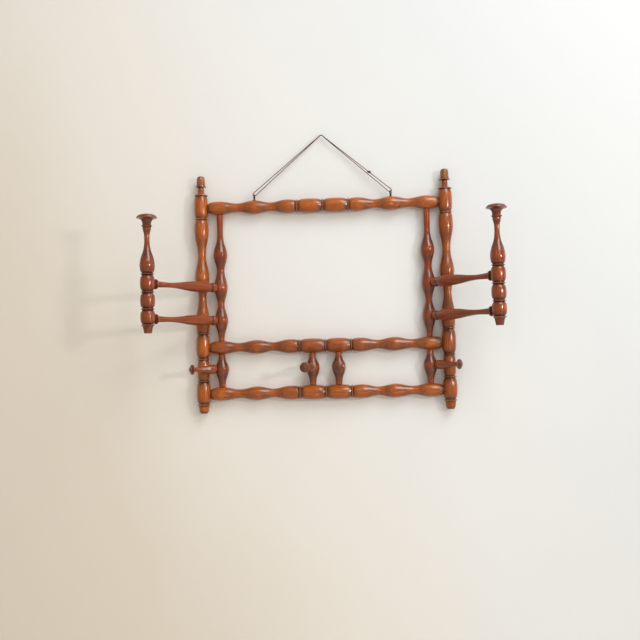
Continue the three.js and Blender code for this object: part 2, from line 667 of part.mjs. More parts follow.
// Knot that joins the string's two ends, with its two short tails
function cordKnot() {
  const [start, end] = [STRING_ROUTE[0], STRING_ROUTE.at(-1)];
  const halfL = start.distanceTo(end) / 2 - GLUE_FIT;
  const along = start.clone().sub(end).normalize();
  const body = new Outline(-halfL, KNOT_END_R).bead(halfL, KNOT_END_R, KNOT_R);
  let solid = solidOf(turnUpright(body, STRING_SIDES));
  for (const tail of KNOT_TAILS) {
    const direction = tail.clone().normalize();
    solid = solid.add(bar(new THREE.Vector3(), direction, KNOT_TAIL_L, STRING_R));
  }
  const mesh = piece('cord_knot', solid, twine);
  mesh.quaternion.setFromUnitVectors(UP, along);
  mesh.position.copy(start).add(end).multiplyScalar(0.5);
  return mesh;
}

// Turns a group about its spindle so that its +X points outward and forward by the angle
function swivel(group, x, restAngle) {
  const angle = THREE.MathUtils.degToRad(restAngle);
  group.position.x = x;
  group.rotation.z = x < 0 ? Math.PI + angle : -angle;
  return group;
}

function gate(side, x, restAngle) {
  const group = new THREE.Group();
  group.add(
    gateSpindle(`${side}_gate_spindle`),
    arm(`${side}_lower_arm`, LOWER_ARM_Z),
    arm(`${side}_upper_arm`, UPPER_ARM_Z),
    hatPost(`${side}_hat_post`),
  );
  return swivel(group, x, restAngle);
}

function swivelPeg(side, x, railR, restAngle) {
  const group = new THREE.Group();
  group.add(pegSpindle(`${side}_peg_spindle`, railR), peg(`${side}_peg`));
  return swivel(group, x, restAngle);
}

const frame = new THREE.Group();
frame.position.set(0, AXIS_Y, -(TOP_RAIL_Z + NAIL_RISE));
frame.add(
  post('left_post', -POST_X, RIGHT),
  post('right_post', POST_X, LEFT),
  rail('top_rail', TOP_RAIL_Z, [
    ...pivotHoles(GATE_AXIS_X, DOWN, RAIL_END_BULGE_R),
    ...eyeHoles(),
  ]),
  rail('middle_rail', MIDDLE_RAIL_Z, [
    ...pivotHoles(GATE_AXIS_X, UP, RAIL_END_BULGE_R),
    ...pivotHoles(GATE_AXIS_X, DOWN, RAIL_END_BULGE_R),
    ...pivotHoles(PEG_X, DOWN, RAIL_BEAD_R),
  ]),
  rail('bottom_rail', BOTTOM_RAIL_Z, [
    ...pivotHoles(GATE_AXIS_X, UP, RAIL_END_BULGE_R),
    ...pivotHoles(PEG_X, UP, RAIL_BEAD_R),
  ]),
  screwEye('left_screw_eye', -EYE_X, EYE_TWIST_ANGLE),
  screwEye('right_screw_eye', EYE_X, -EYE_TWIST_ANGLE),
  gate('left', -GATE_AXIS_X, LEFT_GATE_ANGLE),
  gate('right', GATE_AXIS_X, RIGHT_GATE_ANGLE),
  swivelPeg('left', -GATE_AXIS_X, RAIL_END_BULGE_R, LEFT_PEG_ANGLE),
  swivelPeg('right', GATE_AXIS_X, RAIL_END_BULGE_R, RIGHT_PEG_ANGLE),
  swivelPeg('centre_left', -PEG_X, RAIL_BEAD_R, CENTRE_LEFT_PEG_ANGLE),
  swivelPeg('centre_right', PEG_X, RAIL_BEAD_R, CENTRE_RIGHT_PEG_ANGLE),
);

const rack = new THREE.Group();
rack.add(frame, hangingCord(), cordKnot());

export default rack;
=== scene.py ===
"""Wall coat rack of turned and varnished wood, hung by a doubled string, on a pale wall.

Every turned piece takes its axis and its outline from the node that it replaces, rounds the
outline and turns it with fine sides. Metres, X to the right, Y into the wall, Z up.
"""

import json
import math

import bpy
import numpy as np
from mathutils import Matrix, Vector
from mathutils.bvhtree import BVHTree


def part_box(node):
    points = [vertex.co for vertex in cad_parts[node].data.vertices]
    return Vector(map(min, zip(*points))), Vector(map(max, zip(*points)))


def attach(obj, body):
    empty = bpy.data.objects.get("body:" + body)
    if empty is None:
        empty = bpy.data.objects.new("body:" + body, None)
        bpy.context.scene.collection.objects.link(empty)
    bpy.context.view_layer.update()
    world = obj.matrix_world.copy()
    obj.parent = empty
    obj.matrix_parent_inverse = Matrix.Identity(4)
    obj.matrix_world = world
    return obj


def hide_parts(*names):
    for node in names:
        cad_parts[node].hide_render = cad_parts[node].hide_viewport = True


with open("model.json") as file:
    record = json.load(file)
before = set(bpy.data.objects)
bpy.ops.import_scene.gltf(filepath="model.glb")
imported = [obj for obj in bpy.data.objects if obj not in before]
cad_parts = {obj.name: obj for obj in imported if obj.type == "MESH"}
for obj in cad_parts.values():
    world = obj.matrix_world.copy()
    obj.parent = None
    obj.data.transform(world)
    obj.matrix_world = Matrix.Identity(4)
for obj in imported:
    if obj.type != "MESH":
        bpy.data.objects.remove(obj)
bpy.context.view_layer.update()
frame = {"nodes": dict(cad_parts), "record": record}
MM = 0.001
X_AXIS = np.array((1.0, 0.0, 0.0))
Y_AXIS = np.array((0.0, 1.0, 0.0))
Z_AXIS = np.array((0.0, 0.0, 1.0))

# A unit direction whose X is at least this much runs mostly along X
MOSTLY_ALONG = 0.8

# Camera: where it stands, and which way the right and the top of its picture point
CAMERA_AT = (0.0927, -2.2147, -0.5695)
CAMERA_RIGHT = Vector((0.99858, 0.04861, -0.02158))
CAMERA_UP = Vector((0.02389, -0.04747, 0.99859))
CAMERA_LENS_MM = 50
CAMERA_SENSOR_MM = 36

# String: its route from the knot and back to it, in millimetres
STRING_ROUTE = [
    (121.3, -16.2, -98.7), (127.4, -16.5, -103.9), (165.4, -18.3, -135.9),
    (171.5, -18.6, -141.0), (172.9, -18.6, -143.8), (171.9, -18.6, -146.7),
    (169.2, -18.6, -148.1), (166.2, -18.6, -147.1), (160.3, -18.2, -141.7),
    (84.5, -13.3, -72.9), (8.6, -8.4, -4.1),
    (2.7, -8.0, 1.3), (0.0, -8.0, 2.3), (-2.7, -8.0, 1.3),
    (-8.6, -8.4, -4.1), (-84.5, -13.3, -72.9), (-160.3, -18.2, -141.7),
    (-166.2, -18.6, -147.1), (-169.2, -18.6, -148.1), (-171.9, -18.6, -146.7),
    (-172.9, -18.6, -143.8), (-171.5, -18.6, -141.0), (-165.4, -18.3, -135.9),
    (-87.0, -14.6, -69.8), (-8.7, -10.9, -3.8),
    (-2.6, -10.6, 1.4), (0.0, -10.6, 2.3), (2.6, -10.6, 1.4),
    (8.7, -10.9, -3.8), (60.3, -13.3, -47.3), (108.6, -15.6, -88.0), (114.7, -15.9, -93.2),
]
STRING_R = 1 * MM
STRING_PLIES = 3
STRING_PLY_DIP = 0.2
STRING_LAY = 7 * MM
STRING_STEP = 1 * MM
STRING_SIDES = 18

# Knot: a trefoil of the same string, pulled tight, and the directions of its two drooping tails
KNOT_SCALE = 0.95 * MM
KNOT_STEPS = 96
KNOT_STUB = 1.5 * MM
KNOT_TAIL = 7 * MM
KNOT_DROOP = KNOT_TAIL / 8
KNOT_TAILS = [(0.5, -0.7, -0.5), (-0.4, -0.7, 0.6)]

# Screw eyes: wire, ring and opening, then the stem's heights over the rail and radii, in millimetres
EYE_WIRE_R = 1.3 * MM
EYE_INNER_R = 4.4 * MM
EYE_TWIST = math.radians(18)
EYE_GAP = math.radians(26)
EYE_STEPS = 60
EYE_SIDES = 18
EYE_TOP_MARGIN = 0.02 * MM
EYE_SEAT = 1.4 * MM
EYE_STEM = [(-13, 0.3), (-9, 1.8), (0.3, 1.8), (0.3, 3.9), (0.7, 4.1), (1.2, 3.4), (2.1, 1.7), (3.2, 1.3)]

# Reading a node: its corners are rounded to whole micrometres, nearer places of its outline count
# as one, fewer corners are no ring, and an end is this deep
NODE_DECIMALS = 6
SAME_PLACE = 0.03 * MM
RING_CORNERS = 6
END_DEPTH = 0.3 * MM

# Turning: how fine the surfaces are, what counts as a corner of an outline, and its broken edge
TURNED_SIDES = 56
OUTLINE_STEP = 1.1 * MM
LEAST_STEPS, MOST_STEPS = 2, 5
CORNER = math.radians(40)
SMALL_RING = 5.2 * MM
FILLET = 0.5 * MM
FILLET_SHARE = 0.4
FILLET_STEPS = 4

# Coat pegs are turned a little slimmer than their solids' corners, to clear the posts at their limit
PEG_FULLNESS = 0.98

# Where dust gathers in grooves, where hollows get painted shade and where crests wear paler with a painted
# highlight: reach to each side, and the hollows that count as none and full
PROFILE_STEP = 0.25 * MM
GROOVE_REACH, GROOVE_NONE, GROOVE_FULL = 2.6 * MM, 0.1 * MM, 0.9 * MM
HOLLOW_REACH, HOLLOW_NONE, HOLLOW_FULL = 13 * MM, 0.6 * MM, 6 * MM
CREST_REACH, CREST_NONE, CREST_FULL = 2.2 * MM, 0.25 * MM, 1.2 * MM

# A slope holds this share of a groove's dirt, and the painted contact shade and dirt of a joint reach this
# far from it
SLOPE_DIRT = 0.75
JOINT_REACH = 4.5 * MM

# The thimbles on the posts have lost some of their varnish, down to this depth with a soft edge
THIMBLE_H, THIMBLE_EDGE = 29 * MM, 2 * MM

# Grain coordinates are in centimetres, and each piece has its own place in the grain
GRAIN_UNIT = 0.01
GRAIN_SHIFT = np.array((7.3, 4.1, 23.7))

# Growth rings: how far and at what slant their heart lies off the turning's axis, and its wander
HEART_SHIFT = (2.1, 1.4, 0)
HEART_SLANT = (0.03, 0.045, 0.0)
HEART_WANDER = 1.6

# Wood: how much each mark of the grain shows
RINGS_SHOW = 0.45
FIBRES_SHOW = 0.75
STAIN_SHOWS = 0.45
PORES_SHOW = 0.35

# Age and painted light: how much each mark shows (crests worn paler with a painted highlight, dirt in
# grooves, painted shade in deep hollows, painted contact shade and dirt at joints), the screen colour of worn
# wood, and what dulls the varnish
CREST_WEAR_AND_HIGHLIGHT_SHOWS = 0.3
GROOVES_SHOW = 0.9
DEEP_HOLLOW_SHADE_SHOWS = 0.75
JOINT_SHADE_AND_DIRT_SHOWS = 0.6
WORN_TONE = (112, 72, 44)
SMEAR_DULLS = 0.12
DIRT_DULLS = 0.25

# Relief of the varnish, and how far each pattern rises out of it or sinks into it
RELIEF_DEPTH = 0.1 * MM
FIBRES_RISE, PORES_RISE, SMEAR_RISE = 0.5, -0.6, 0.6

# Varnishes: screen colours of the wood, and how rough it and its coat are
VARNISHES = {
    "honey": {"pale": (176, 91, 10), "deep": (132, 60, 7), "dark": (44, 23, 14), "rough": 0.34, "coat": 0.2},
    "brown": {"pale": (162, 80, 8), "deep": (118, 51, 6), "dark": (42, 22, 13), "rough": 0.34, "coat": 0.2},
    "red": {"pale": (148, 64, 16), "deep": (106, 42, 12), "dark": (44, 21, 13), "rough": 0.3, "coat": 0.1},
    "peg": {"pale": (152, 70, 16), "deep": (112, 49, 13), "dark": (50, 27, 17), "rough": 0.36, "coat": 0.14},
}

# Stage: the edges of the wall and the floor
WALL_HALF, WALL_TOP = 4.0, 2.5
FLOOR_Z, FLOOR_FRONT = -1.6, -5.0

# The wall's screen colour drifts from warm to cool between these places along X, and a rise in
# height counts as this share of a move along X. The drift is painted light: warm and a little
# darker at the lower left, away from the window, and cool toward the upper right, where its light falls
TINTS_FROM, TINTS_TO = -1.0, 0.4
RISE_SHARE = 0.5
WALL_PAINTED_LIGHT_TINTS = [(0.0, (229, 221, 209)), (0.3, (235, 231, 225)), (0.63, (231, 232, 232)), (1.0, (221, 224, 227))]

# Light: the lamps face the rack's middle, and the room around is warm and dim
RACK_MIDDLE = Vector((0, 0, -0.35))
ROOM_COLOUR = (1.0, 0.9, 0.77, 1.0)
ROOM_STRENGTH = 0.46

# The body of each node, and the collection of the pieces, which the lamps behind the wall light
BODY_OF = {n: body for body, nodes in frame["record"]["behaviour"]["bodies"].items() for n in nodes}
rack_pieces = bpy.data.collections.new("rack_pieces")
bpy.context.scene.collection.children.link(rack_pieces)


def look_at_rack():
    """Camera at the photograph's viewpoint."""
    camera = bpy.data.objects.new("camera", bpy.data.cameras.new("camera"))
    camera.data.lens = CAMERA_LENS_MM
    camera.data.sensor_width = CAMERA_SENSOR_MM
    turn = Matrix((CAMERA_RIGHT, CAMERA_UP, CAMERA_RIGHT.cross(CAMERA_UP))).transposed()
    camera.matrix_world = Matrix.Translation(CAMERA_AT) @ turn.to_4x4()
    bpy.context.scene.collection.objects.link(camera)
    bpy.context.scene.camera = camera


def mesh_object(name, points, faces):
    """Smooth object with a mesh of these points and faces."""
    mesh = bpy.data.meshes.new(name)
    mesh.from_pydata([tuple(p) for p in points], [], faces)
    mesh.polygons.foreach_set("use_smooth", [True] * len(mesh.polygons))
    mesh.update()
    return bpy.data.objects.new(name, mesh)


def finish_piece(made, material, body, slot, *nodes):
    """Puts a piece in the scene, with its finish, its body and the nodes that it stands for."""
    rack_pieces.objects.link(made)
    made.data.materials.append(material)
    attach(made, body)
    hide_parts(*nodes)


def set_attribute(made, name, values, kind="FLOAT"):
    """Number, or vector, of each of a mesh's points."""
    attribute = made.data.attributes.new(name, kind, "POINT")
    key = "vector" if kind == "FLOAT_VECTOR" else "value"
    attribute.data.foreach_set(key, np.asarray(values, np.float32).ravel())


def square_to(direction):
    """A direction at right angles to the given one."""
    across = np.cross(direction, X_AXIS if abs(direction[0]) < MOSTLY_ALONG else Z_AXIS)
    return across / np.linalg.norm(across)


def spline(points, step, least=1, most=math.inf, before=None, after=None):
    """Points about a step apart along a smooth curve through the given ones.

    least and most bound the steps between two given points. before and after are points beyond
    the ends, which set the curve's direction there.
    """
    points = [np.asarray(p, float) for p in points]
    before = 2 * points[0] - points[1] if before is None else before
    after = 2 * points[-1] - points[-2] if after is None else after
    padded = [before, *points, after]
    made = [points[0]]
    for p0, p1, p2, p3 in zip(padded, padded[1:], padded[2:], padded[3:]):
        t1 = math.sqrt(np.linalg.norm(p1 - p0))
        t2 = t1 + math.sqrt(np.linalg.norm(p2 - p1))
        t3 = t2 + math.sqrt(np.linalg.norm(p3 - p2))
        count = min(max(round(float(np.linalg.norm(p2 - p1)) / step), least), most)
        for i in range(1, count + 1):
            t = t1 + (t2 - t1) * i / count
            a1 = ((t1 - t) * p0 + t * p1) / t1
            a2 = ((t2 - t) * p1 + (t - t1) * p2) / (t2 - t1)
            a3 = ((t3 - t) * p2 + (t - t2) * p3) / (t3 - t2)
            b1 = ((t2 - t) * a1 + t * a2) / t2
            b2 = ((t3 - t) * a2 + (t - t1) * a3) / (t3 - t1)
            made.append(((t2 - t) * b1 + (t - t1) * b2) / (t2 - t1))
    return made


def skin(rows, sides):
    """Faces of a tube of rows with that many points each, closed by a fan at both ends."""
    faces = []
    for row in range(rows - 1):
        for side in range(sides):
            a, b = row * sides + side, row * sides + (side + 1) % sides
            faces.append((a, b, b + sides, a + sides))
    first, last = rows * sides, rows * sides + 1
    for side in range(sides):
        after = (side + 1) % sides
        faces.append((after, side, first))
        faces.append((side + (rows - 1) * sides, after + (rows - 1) * sides, last))
    return faces


def tube(path, radius_at, sides):
    """Points and faces of a tube along a path. radius_at gives the radius for a row and an angle."""
    path = np.asarray(path, float)
    tangents = np.gradient(path, axis=0)
    tangents /= np.linalg.norm(tangents, axis=1)[:, None]
    across = square_to(tangents[0])
    points = []
    for row, (place, tangent) in enumerate(zip(path, tangents)):
        across = across - tangent * (across @ tangent)
        across /= np.linalg.norm(across)
        other = np.cross(tangent, across)
        for side in range(sides):
            angle = 2 * math.pi * side / sides
            spoke = math.cos(angle) * across + math.sin(angle) * other
            points.append(place + spoke * radius_at(row, angle))
    return [*points, path[0], path[-1]], skin(len(path), sides)


def joined(parts):
    """Points and faces of several (points, faces) parts as one."""
    points, faces = [], []
    for part_points, part_faces in parts:
        start = len(points)
        faces += [tuple(start + i for i in face) for face in part_faces]
        points += list(part_points)
    return points, faces


def ply_radius(along, angle):
    """Radius of a twisted string at a length along it and an angle round it."""
    turn = 2 * math.pi * along / STRING_LAY
    lobe = abs(math.cos(STRING_PLIES / 2 * (angle - turn)))
    return STRING_R * (1 - STRING_PLY_DIP * (1 - lobe))


def string_tube(path):
    """A length of twisted string along a path."""
    steps = np.linalg.norm(np.diff(path, axis=0), axis=1)
    along = np.concatenate([[0.0], np.cumsum(steps)])
    return tube(path, lambda row, angle: ply_radius(along[row], angle), STRING_SIDES)


def trefoil(middle, along, side, front):
    """Path of the knot about its middle, flat across the front."""
    path = []
    for t in np.linspace(0, 2 * math.pi, KNOT_STEPS + 1):
        x = math.sin(t) + 2 * math.sin(2 * t)
        y = math.cos(t) - 2 * math.cos(2 * t)
        path.append(middle + KNOT_SCALE * (x * along + y * side - math.sin(3 * t) * front))
    return path


def knot_parts():
    """Trefoil between the string's two ends, the stubs that enter it and its tails."""
    start, end = (np.array(STRING_ROUTE[i]) * MM for i in (0, -1))
    middle = (start + end) / 2
    half = float(np.linalg.norm(start - end)) / 2
    along = (start - end) / (2 * half)
    side = np.cross(along, -Y_AXIS)
    side /= np.linalg.norm(side)
    yield string_tube(trefoil(middle, along, side, np.cross(side, along)))
    for sign in (-1, 1):
        inner, outer = middle + sign * KNOT_STUB * along, middle + sign * half * along
        yield string_tube(spline([inner, (inner + outer) / 2, outer], STRING_STEP))
    for x, y, z in KNOT_TAILS:
        tail = x * side + y * Y_AXIS + z * along
        tail *= KNOT_TAIL / np.linalg.norm(tail)
        tip = middle + tail - KNOT_DROOP * Z_AXIS
        yield string_tube(spline([middle, middle + tail / 2, tip], STRING_STEP))


def hang_string(material):
    """The string, one length twice over the nail and through both eyes, and its knot."""
    path = spline(np.array(STRING_ROUTE) * MM, STRING_STEP)
    string = mesh_object("string", *string_tube(path))
    knot = mesh_object("string_knot", *joined(knot_parts()))
    finish_piece(string, material, "frame", "string", "hanging_cord")
    finish_piece(knot, material, "frame", "string", "cord_knot")
    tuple(path[0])


def node_points(node):
    """The different corners of a node's solid."""
    corners = [v.co[:] for v in frame["nodes"][node].data.vertices]
    return np.unique(np.round(corners, NODE_DECIMALS), axis=0)


def axis_of(node, guess=None):
    """Where a turned node's axis starts and which way it runs, from the middles of its ends.

    guess is roughly that way. Without it the node's longest way is taken.
    """
    points = node_points(node)
    if guess is None:
        guess = np.linalg.svd(points - points.mean(0), full_matrices=False)[2][0]
    along = points @ guess
    start = points[along < along.min() + END_DEPTH].mean(0)
    end = points[along > along.max() - END_DEPTH].mean(0)
    return start, (end - start) / np.linalg.norm(end - start)


def outline_of(node, start, direction):
    """Outline of a turned node: places along its axis and radii of its rings, axis to axis."""
    spokes = node_points(node) - start
    along = spokes @ direction
    radius = np.linalg.norm(spokes - np.outer(along, direction), axis=1)
    outline = [np.array((along.min(), 0.0))]
    order = np.argsort(along)
    for group in np.split(order, np.nonzero(np.diff(along[order]) > SAME_PLACE)[0] + 1):
        ranked = group[np.argsort(radius[group])]
        rings = np.split(ranked, np.nonzero(np.diff(radius[ranked]) > SAME_PLACE)[0] + 1)
        rings = [r for r in rings if len(r) >= RING_CORNERS]
        found = [np.array((along[r].mean(), radius[r].mean())) for r in rings]
        last = outline[-1][1]
        outline += sorted(found, key=lambda ring: abs(ring[1] - last))
    return [*outline, np.array((along.max(), 0.0))]


def corners_of(outline):
    """Sharp places of an outline: its ends, its grooves and the edges of flat faces.

    An outer turn beside a short stretch is the round of a small ring, and stays round.
    """
    corners = {0, len(outline) - 1}
    for i in range(1, len(outline) - 1):
        before, after = outline[i] - outline[i - 1], outline[i + 1] - outline[i]
        turn = math.atan2(before[0] * after[1] - before[1] * after[0], before @ after)
        flat = min(abs(before[0]), abs(after[0])) < SAME_PLACE
        small = min(np.linalg.norm(before), np.linalg.norm(after)) < SMALL_RING
        if turn > CORNER or (turn < -CORNER and (flat or not small)):
            corners.add(i)
    return sorted(corners)


def broken_edge(outline, corner, way):
    """Where an outer corner's fillet meets the stretch beside it, or the corner of a groove."""
    here, other = outline[corner], outline[corner + way]
    before, after = here - outline[corner - 1], outline[corner + 1] - here
    if before[0] * after[1] > before[1] * after[0]:
        return here.copy()
    length = float(np.linalg.norm(other - here))
    return here + (other - here) * min(FILLET / length, FILLET_SHARE)


def edge_round(start, corner, end):
    """Points of a fillet between two stretches."""
    steps = [i / FILLET_STEPS for i in range(1, FILLET_STEPS)]
    return [start * (1 - t) ** 2 + corner * 2 * t * (1 - t) + end * t ** 2 for t in steps]


def mirrored(place):
    """The outline's place on the far side of its axis."""
    return place * (1, -1)


def smoothed(outline):
    """Outline with its rounds made round and its outer edges broken."""
    corners = corners_of(outline)
    made = []
    for first, last in zip(corners, corners[1:]):
        stretch = [p.copy() for p in outline[first:last + 1]]
        before = after = None
        if first:
            stretch[0] = broken_edge(outline, first, 1)
            if np.linalg.norm(stretch[0] - made[-1]) > SAME_PLACE:
                made += edge_round(made[-1], outline[first], stretch[0])
            else:
                made.pop()
        else:
            before = mirrored(stretch[1])
        if last < len(outline) - 1:
            stretch[-1] = broken_edge(outline, last, -1)
        else:
            after = mirrored(stretch[-2])
        made += spline(stretch, OUTLINE_STEP, LEAST_STEPS, MOST_STEPS, before, after)
    return [np.array((p[0], max(p[1], 0.0))) for p in made]


def share(values, none, full):
    """0 where a value is at none or below, 1 at full or above."""
    return np.clip((values - none) / (full - none), 0.0, 1.0)


def polish_dirt_and_painted_light(rings):
    """For each ring of an outline, how much dirt its groove holds, how much painted shade its hollow gets,
    and how much its crest is worn paler and given a painted highlight.
    """
    along, radius = np.array(rings).T
    fine = np.arange(along[0], along[-1], PROFILE_STEP)
    profile = np.interp(fine, along, radius)

    def valley(reach):
        """How far the outline rises on both sides of each ring, within a reach."""
        sides = [[profile[(fine >= a + low) & (fine <= a + high)].max(initial=0.0) for a in along]
                 for low, high in ((-reach, 0), (0, reach))]
        return np.minimum(*sides) - radius

    highest = np.array([profile[np.abs(fine - a) <= GROOVE_REACH].max() for a in along])
    lowest = np.array([profile[np.abs(fine - a) <= CREST_REACH].min() for a in along])
    slope = share(highest - radius, GROOVE_NONE, GROOVE_FULL)
    groove = np.maximum(share(valley(GROOVE_REACH), GROOVE_NONE, GROOVE_FULL), SLOPE_DIRT * slope)
    # Painted shade: the deeper a hollow, the darker it is painted.
    hollow = share(valley(HOLLOW_REACH), HOLLOW_NONE, HOLLOW_FULL)
    # Crests are worn paler, and the paler crest is also a painted highlight.
    crest = share(radius - lowest, CREST_NONE, CREST_FULL)
    return {"groove": groove, "hollow": hollow, "crest": crest * (1 - groove)}


def near_joint(node, made):
    """For each point of a piece, how near it lies to the other pieces: 1 where it touches one."""
    others, faces = [], []
    for other in sorted(frame["nodes"]):
        mesh = frame["nodes"][other].data
        if other != node:
            faces += [[len(others) + i for i in face.vertices] for face in mesh.polygons]
            others += [v.co.copy() for v in mesh.vertices]
    tree = BVHTree.FromPolygons(others, faces)
    distances = [tree.find_nearest(v.co, JOINT_REACH)[3] for v in made.data.vertices]
    return [0.0 if d is None else 1 - d / JOINT_REACH for d in distances]


def mark_wood(made, node, local, rings, worn_from):
    """Gives each point of a turned piece its place in the grain and its shares of dirt, wear, painted shade
    and painted highlight.
    """
    seed = sorted(frame["nodes"]).index(node)
    set_attribute(made, "grain_at", local / GRAIN_UNIT + GRAIN_SHIFT * seed, "FLOAT_VECTOR")
    for name, values in polish_dirt_and_painted_light(rings).items():
        set_attribute(made, name, [*np.repeat(values, TURNED_SIDES), values[0], values[-1]])
    # Nearness to the other pieces, for painted contact shade and dirt at the joints.
    set_attribute(made, "joint", near_joint(node, made))
    set_attribute(made, "worn", share(local[:, 2], worn_from, worn_from + THIMBLE_EDGE))


def turned(node, slot, material, guess=None, worn_top=0.0, fullness=1.0):
    """A turned piece of wood in the place of a node, with its grain, its old polish and its painted shade and
    highlights.
    """
    start, direction = axis_of(node, guess)
    outline = smoothed(outline_of(node, start, direction))
    low, high = outline[0][0], outline[-1][0]
    rings = [p * (1, fullness) for p in outline if p[1] > SAME_PLACE]
    across = square_to(direction)
    other = np.cross(direction, across)
    angles = np.arange(TURNED_SIDES) * 2 * math.pi / TURNED_SIDES
    local = [(r * math.cos(t), r * math.sin(t), a) for a, r in rings for t in angles]
    local = np.array([*local, (0, 0, low), (0, 0, high)])
    points = start + local @ np.array((across, other, direction))
    made = mesh_object(node + "_turned", points, skin(len(rings), TURNED_SIDES))
    made.data.set_sharp_from_angle(angle=CORNER)
    mark_wood(made, node, local, rings, high - worn_top)
    finish_piece(made, material, BODY_OF[node], slot, node)


def screw_eye(node, twist, material):
    """Wire eye, bent from one rod with its end left a little open, on its collar and shank."""
    low, high = (np.array(corner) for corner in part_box(node))
    ring_r = EYE_INNER_R + EYE_WIRE_R
    top = np.array(((low[0] + high[0]) / 2, (low[1] + high[1]) / 2, high[2] - EYE_TOP_MARGIN))
    centre = top - (0, 0, ring_r + EYE_WIRE_R)
    seat = centre[2] - ring_r - EYE_WIRE_R - EYE_SEAT
    flat = np.array((-math.sin(twist), math.cos(twist), 0.0))
    sweep = np.linspace(-math.pi / 2, 1.5 * math.pi - EYE_GAP, EYE_STEPS)
    loop = [centre + ring_r * (math.cos(t) * flat + math.sin(t) * Z_AXIS) for t in sweep]
    stem = [(centre[0], centre[1], seat + h * MM) for h, _ in EYE_STEM]
    widths = [r * MM for _, r in EYE_STEM]
    parts = [tube(loop, lambda row, angle: EYE_WIRE_R, EYE_SIDES),
             tube(stem, lambda row, angle: widths[row], EYE_SIDES)]
    made = mesh_object(node + "_wire", *joined(parts))
    made.data.set_sharp_from_angle(angle=CORNER)
    finish_piece(made, material, "frame", "iron", node)


def linear(red, green, blue):
    """Scene colour of a screen colour from 0 to 255, by the sRGB curve."""
    values = [c / 255 for c in (red, green, blue)]
    return (*[c / 12.92 if c < 0.04045 else ((c + 0.055) / 1.055) ** 2.4 for c in values], 1.0)


class Finish:
    """A material and short ways to add nodes to it."""

    def __init__(self, name):
        self.material = bpy.data.materials.new(name)
        self.material.use_nodes = True
        self.tree = self.material.node_tree
        self.shader = self.tree.nodes["Principled BSDF"]

    def join(self, value, socket):
        """Links another node's output to a socket, or sets the socket to a constant."""
        if isinstance(value, bpy.types.NodeSocket):
            self.tree.links.new(value, socket)
        else:
            socket.default_value = value

    def tune(self, node, **values):
        """Joins values to a node's sockets by their names, with _ for each space."""
        for name, value in values.items():
            self.join(value, node.inputs[name.replace("_", " ")])

    def add(self, kind, *inputs, **settings):
        """A new node with these settings, and these values joined to its first sockets."""
        node = self.tree.nodes.new("ShaderNode" + kind)
        for key, value in settings.items():
            setattr(node, key, value)
        for value, socket in zip(inputs, node.inputs):
            self.join(value, socket)
        return node

    def place(self):
        """Where a point lies in its object, in metres."""
        return self.add("TexCoord").outputs["Object"]

    def mark(self, name, output="Fac"):
        """What the mesh's points carry under a name."""
        return self.add("Attribute", attribute_name=name).outputs[output]

    def calculate(self, operation, first, *others):
        """One value of several by a math operation, from the first to the last."""
        for other in others:
            first = self.add("Math", first, other, operation=operation).outputs[0]
        return first

    def times(self, value, factor):
        """A value times another value or a number."""
        return self.calculate("MULTIPLY", value, factor)

    def noise(self, vector, scale, detail, roughness=0.5):
        """Cloudy noise with about so many features to a unit."""
        node = self.add("TexNoise", vector)
        self.tune(node, Scale=scale, Detail=detail, Roughness=roughness)
        return node.outputs["Fac"]

    def spread(self, value, low, high, to_low=0.0, to_high=1.0):
        """The value's range from low to high as another range, kept inside it."""
        return self.add("MapRange", value, low, high, to_low, to_high).outputs[0]

    def mix(self, factor, first, second):
        """The first colour at factor 0, the second at 1."""
        node = self.add("Mix", data_type="RGBA")
        for value, name in ((factor, "Factor_Float"), (first, "A_Color"), (second, "B_Color")):
            socket = next(s for s in node.inputs if s.identifier == name)
            self.join(value, socket)
        return next(s for s in node.outputs if s.identifier == "Result_Color")

    def ramp(self, value, *stops):
        """Colour that runs through the stops, each a place and a screen colour."""
        node = self.add("ValToRGB", value)
        elements = node.color_ramp.elements
        for place, _ in stops[1:-1]:
            elements.new(place)
        for element, (place, colour) in zip(elements, stops):
            element.position = place
            element.color = linear(*colour)
        return node.outputs[0]

    def bump(self, height, distance, strength):
        """Fine relief of the surface."""
        node = self.add("Bump")
        self.tune(node, Height=height, Distance=distance, Strength=strength)
        self.tune(self.shader, Normal=node.outputs[0])


